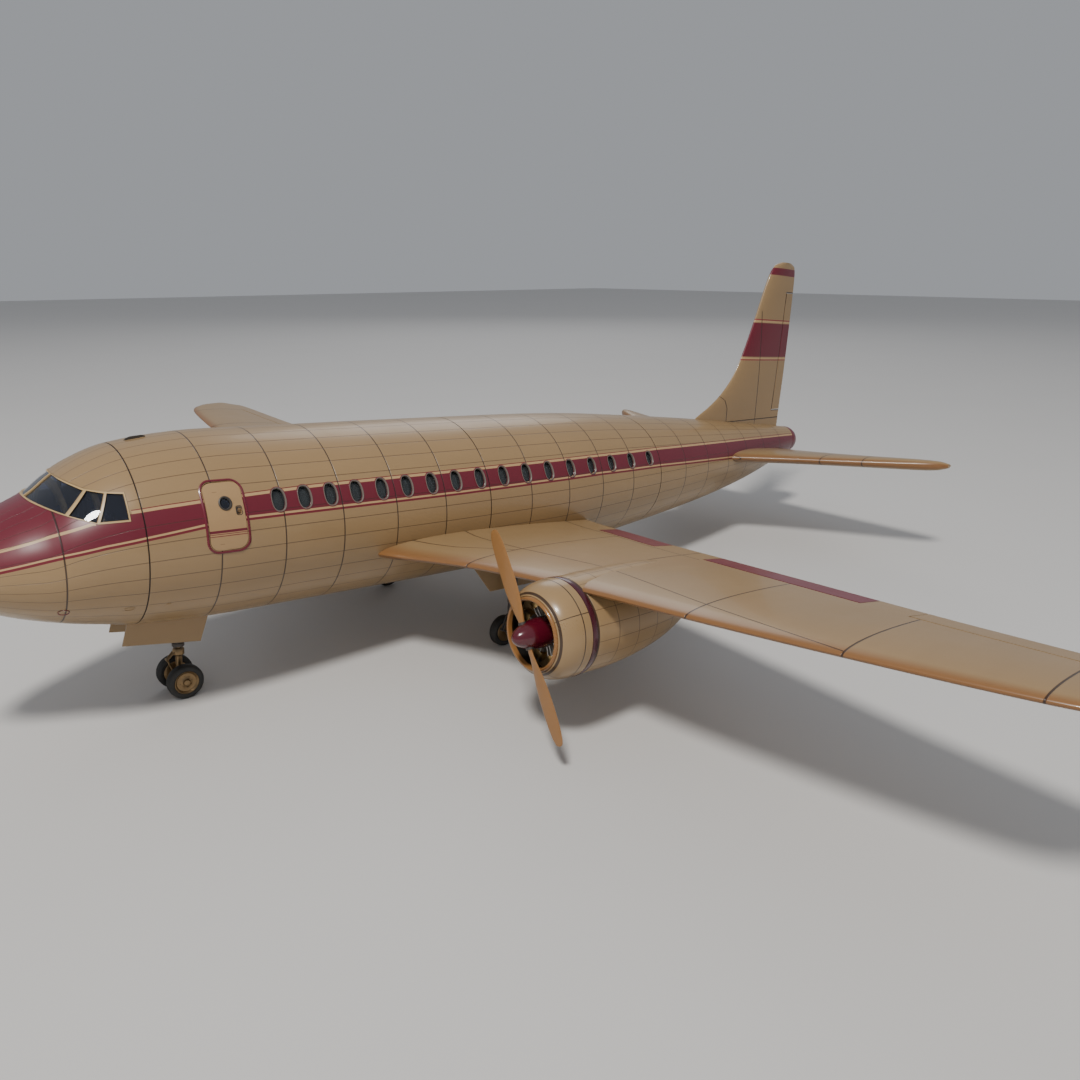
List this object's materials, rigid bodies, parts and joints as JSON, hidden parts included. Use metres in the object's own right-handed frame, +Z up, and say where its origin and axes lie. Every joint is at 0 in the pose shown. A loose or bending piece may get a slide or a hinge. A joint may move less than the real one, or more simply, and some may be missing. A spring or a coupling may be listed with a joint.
{
  "type": "propeller airliner model",
  "caption": "Display model of a low-wing propeller airliner on its wheels, with turning propellers, rolling and steering wheels, hinged control surfaces and flaps, and an opening cabin door.",
  "frame": {"origin": "centre of the bounding box in X and Y, on the ground under the tyres in Z", "axes": "+X aft along the aircraft, +Y to starboard along the span, +Z up"},
  "size_m": [0.6406, 0.746, 0.2094],
  "materials": {
    "tan_paint": "satin tan paint",
    "crimson_paint": "satin crimson paint",
    "clear_glazing": "smoked, polished",
    "engine_alloy": "gilded alloy",
    "black_rubber": "matt black",
    "bronze": "satin bronze",
    "dark_steel": "blackened",
    "interior_plastic": "plain",
    "cast_iron": "as cast, out of sight",
    "dark_fitting": "dark"
  },
  "bodies": {
    "airframe": {"nose_cone": "crimson_paint", "nose_ballast": "cast_iron", "flight_deck_shell": "tan_paint", "forward_cabin_shell": "tan_paint", "aft_cabin_shell": "tan_paint", "tail_shell": "tan_paint", "tail_cap": "crimson_paint", "tail_light": "clear_glazing", "cabin_floor": "interior_plastic", "cockpit_frame": "tan_paint", "cockpit_glass": "clear_glazing", "roof_antenna": "dark_fitting", "belly_antenna": "dark_fitting", "wing_spar": "dark_steel", "fin": "tan_paint", "nose_gear_leg": "dark_steel", "nose_gear_brace": "dark_steel", "cabin_glazing_port": "clear_glazing", "wing_port": "tan_paint", "nacelle_port": "tan_paint", "cowl_port": "tan_paint", "engine_port": "engine_alloy", "stabiliser_port": "tan_paint", "nose_gear_door_port": "tan_paint", "main_gear_leg_port": "dark_steel", "main_gear_door_port": "tan_paint", "cabin_glazing_starboard": "clear_glazing", "wing_starboard": "tan_paint", "nacelle_starboard": "tan_paint", "cowl_starboard": "tan_paint", "engine_starboard": "engine_alloy", "stabiliser_starboard": "tan_paint", "nose_gear_door_starboard": "tan_paint", "main_gear_leg_starboard": "dark_steel", "main_gear_door_starboard": "tan_paint"},
    "propeller_port_body": {"propeller_port": "tan_paint", "spinner_port": "crimson_paint"},
    "propeller_starboard_body": {"propeller_starboard": "tan_paint", "spinner_starboard": "crimson_paint"},
    "nose_strut": {"nose_gear_fork": "bronze"},
    "nose_wheels": {"nose_wheel_hubs": "bronze", "nose_tyre_port": "black_rubber", "nose_tyre_starboard": "black_rubber"},
    "main_port_wheel": {"main_port_wheel_hub": "bronze", "main_port_tyre": "black_rubber"},
    "main_starboard_wheel": {"main_starboard_wheel_hub": "bronze", "main_starboard_tyre": "black_rubber"},
    "rudder_body": {"rudder": "tan_paint"},
    "elevator_port_body": {"elevator_port": "tan_paint"},
    "aileron_port_body": {"aileron_port": "tan_paint"},
    "inner_flap_port_body": {"inner_flap_port": "crimson_paint"},
    "outer_flap_port_body": {"outer_flap_port": "crimson_paint"},
    "elevator_starboard_body": {"elevator_starboard": "tan_paint"},
    "aileron_starboard_body": {"aileron_starboard": "tan_paint"},
    "inner_flap_starboard_body": {"inner_flap_starboard": "crimson_paint"},
    "outer_flap_starboard_body": {"outer_flap_starboard": "crimson_paint"},
    "door": {"passenger_door": "tan_paint", "door_window": "clear_glazing", "door_handle": "dark_fitting"}
  },
  "joints": [
    {"name": "propeller_port_spin", "type": "hinge", "parent": "airframe", "child": "propeller_port_body", "pos_m": [-0.11715, -0.1565, 0.05498], "axis": [0.9974, 0, -0.0717], "continuous": true},
    {"name": "propeller_starboard_spin", "type": "hinge", "parent": "airframe", "child": "propeller_starboard_body", "pos_m": [-0.11715, 0.1565, 0.05498], "axis": [0.9974, 0, -0.0717], "continuous": true},
    {"name": "nose_steering", "type": "hinge", "parent": "airframe", "child": "nose_strut", "pos_m": [-0.21502, 0, 0.00873], "axis": [0.0717, 0, 0.9974], "range_deg": [-30, 30]},
    {"name": "nose_wheels_roll", "type": "hinge", "parent": "nose_strut", "child": "nose_wheels", "pos_m": [-0.21502, 0, 0.00873], "axis": [0, 1, 0], "continuous": true},
    {"name": "main_port_wheel_roll", "type": "hinge", "parent": "airframe", "child": "main_port_wheel", "pos_m": [-0.05576, -0.06325, 0.00873], "axis": [0, 1, 0], "continuous": true},
    {"name": "main_starboard_wheel_roll", "type": "hinge", "parent": "airframe", "child": "main_starboard_wheel", "pos_m": [-0.05576, 0.06325, 0.00873], "axis": [0, 1, 0], "continuous": true},
    {"name": "rudder_hinge", "type": "hinge", "parent": "airframe", "child": "rudder_body", "pos_m": [0.28667, 0, 0.09096], "axis": [0.0717, 0, 0.9974], "range_deg": [-25, 25]},
    {"name": "elevator_port_hinge", "type": "hinge", "parent": "airframe", "child": "elevator_port_body", "pos_m": [0.27505, -0.0375, 0.06203], "axis": [0.0494, 0.9957, -0.0784], "range_deg": [-20, 20]},
    {"name": "elevator_starboard_hinge", "type": "hinge", "parent": "airframe", "child": "elevator_starboard_body", "pos_m": [0.27505, 0.0375, 0.06203], "axis": [-0.0494, 0.9957, 0.0784], "range_deg": [-20, 20]},
    {"name": "aileron_port_hinge", "type": "hinge", "parent": "airframe", "child": "aileron_port_body", "pos_m": [-0.02501, -0.2775, 0.07615], "axis": [0.1121, 0.9901, -0.0845], "range_deg": [-20, 20]},
    {"name": "aileron_starboard_hinge", "type": "hinge", "parent": "airframe", "child": "aileron_starboard_body", "pos_m": [-0.02501, 0.2775, 0.07615], "axis": [-0.1121, 0.9901, 0.0845], "range_deg": [-20, 20]},
    {"name": "outer_flap_port_hinge", "type": "hinge", "parent": "airframe", "child": "outer_flap_port_body", "pos_m": [-0.00877, -0.165, 0.06449], "axis": [0.1438, 0.9858, -0.0864], "range_deg": [0, 40]},
    {"name": "outer_flap_starboard_hinge", "type": "hinge", "parent": "airframe", "child": "outer_flap_starboard_body", "pos_m": [-0.00877, 0.165, 0.06449], "axis": [-0.1438, 0.9858, 0.0864], "range_deg": [0, 40]},
    {"name": "inner_flap_port_hinge", "type": "hinge", "parent": "airframe", "child": "inner_flap_port_body", "pos_m": [0.0055, -0.0775, 0.05625], "axis": [0.1784, 0.98, -0.0885], "range_deg": [0, 40]},
    {"name": "inner_flap_starboard_hinge", "type": "hinge", "parent": "airframe", "child": "inner_flap_starboard_body", "pos_m": [0.0055, 0.0775, 0.05625], "axis": [-0.1784, 0.98, 0.0885], "range_deg": [0, 40]},
    {"name": "passenger_door_hinge", "type": "hinge", "parent": "airframe", "child": "door", "pos_m": [-0.20707, -0.0472, 0.1004], "axis": [-0.0672, -0.3511, -0.9339], "range_deg": [0, 95]}
  ],
  "couplings": [
    {"joint": "elevator_starboard_hinge", "follows": "elevator_port_hinge", "ratio": 1},
    {"joint": "aileron_starboard_hinge", "follows": "aileron_port_hinge", "ratio": -1},
    {"joint": "outer_flap_starboard_hinge", "follows": "outer_flap_port_hinge", "ratio": 1},
    {"joint": "inner_flap_port_hinge", "follows": "outer_flap_port_hinge", "ratio": 1},
    {"joint": "inner_flap_starboard_hinge", "follows": "outer_flap_port_hinge", "ratio": 1}
  ]
}
